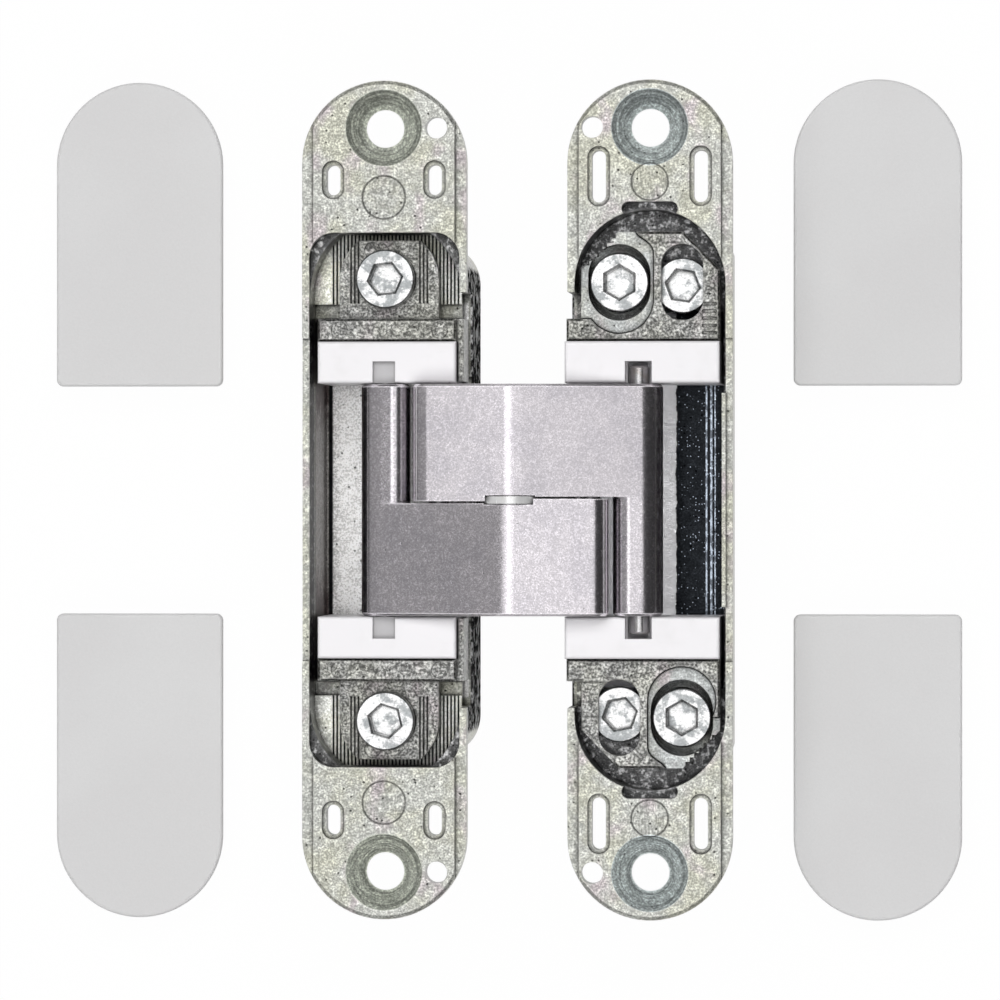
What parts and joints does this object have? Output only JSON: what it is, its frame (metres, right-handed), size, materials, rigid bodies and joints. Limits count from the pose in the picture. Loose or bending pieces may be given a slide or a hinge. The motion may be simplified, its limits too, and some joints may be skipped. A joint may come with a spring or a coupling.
{
  "type": "concealed door hinge",
  "caption": "Concealed three-way adjustable door hinge: two mortise leaves joined by crossed arms that slide in nylon guides, with clip-on cover caps.",
  "frame": {"origin": "on the seat of the frame leaf's face plate, midway between its two screw holes", "axes": "+X from the door leaf to the frame leaf, +Y along the leaves, +Z out of the faces; the hinge lies on its back, open by half a turn"},
  "size_m": [0.1322, 0.122, 0.0316],
  "materials": {
    "zinc_casting": "die-cast zinc alloy, passivated, slightly grainy",
    "zinc_plate": "zinc-plated steel",
    "zinc_screw": "bright zinc-plated steel",
    "bright_steel": "ground steel",
    "satin_arm": "satin pearl grey die-cast zinc",
    "white_nylon": "white nylon",
    "satin_cover": "satin light grey, fine grain"
  },
  "bodies": {
    "frame_leaf": {"frame_housing": "zinc_casting", "frame_upper_cover": "satin_cover", "frame_lower_cover": "satin_cover", "door_upper_cover": "satin_cover", "door_lower_cover": "satin_cover"},
    "frame_screws": {"frame_upper_clamp_screw": "zinc_screw", "frame_upper_adjusting_screw": "zinc_screw", "frame_lower_clamp_screw": "zinc_screw", "frame_lower_adjusting_screw": "zinc_screw"},
    "frame_carriage": {"frame_upper_carriage": "zinc_casting", "frame_upper_clamp_plate": "zinc_plate", "frame_upper_guide": "white_nylon", "frame_lower_carriage": "zinc_casting", "frame_lower_clamp_plate": "zinc_plate", "frame_lower_guide": "white_nylon", "frame_pivot_pin": "bright_steel"},
    "lower_arm": {"lower_arm": "satin_arm", "door_slide_pin": "bright_steel"},
    "upper_arm": {"upper_arm": "satin_arm", "frame_slide_pin": "bright_steel", "centre_pin": "bright_steel", "centre_washer": "bright_steel"},
    "door_carriage": {"door_upper_carriage": "zinc_casting", "door_upper_guide": "white_nylon", "door_lower_carriage": "zinc_casting", "door_lower_guide": "white_nylon", "door_pivot_pin": "bright_steel"},
    "door_leaf": {"door_housing": "zinc_casting", "door_upper_clamp_screw": "zinc_screw", "door_lower_clamp_screw": "zinc_screw"}
  },
  "joints": [
    {"name": "lateral_adjust", "type": "slide", "parent": "frame_leaf", "child": "frame_screws", "axis": [0, 0, 1], "range_m": [-0.001, 0.001]},
    {"name": "height_adjust", "type": "slide", "parent": "frame_screws", "child": "frame_carriage", "axis": [0, 1, 0], "range_m": [-0.001, 0.001]},
    {"name": "lower_arm_swing", "type": "hinge", "parent": "frame_carriage", "child": "lower_arm", "pos_m": [-0.00891, 0, -0.00498], "axis": [0, 1, 0], "range_deg": [0, 94.74]},
    {"name": "arm_cross", "type": "hinge", "parent": "lower_arm", "child": "upper_arm", "pos_m": [-0.0198, 0, 0.0032], "axis": [0, 1, 0], "range_deg": [-9.48, 0]},
    {"name": "door_swing", "type": "hinge", "parent": "upper_arm", "child": "door_carriage", "pos_m": [-0.03069, 0, -0.00498], "axis": [0, 1, 0], "range_deg": [0, 94.75]},
    {"name": "depth_adjust", "type": "slide", "parent": "door_carriage", "child": "door_leaf", "axis": [1, 0, 0], "range_m": [-0.001, 0.001]}
  ],
  "couplings": [
    {"joint": "arm_cross", "follows": "lower_arm_swing", "ratio": -0.1},
    {"joint": "door_swing", "follows": "lower_arm_swing", "ratio": 1}
  ]
}
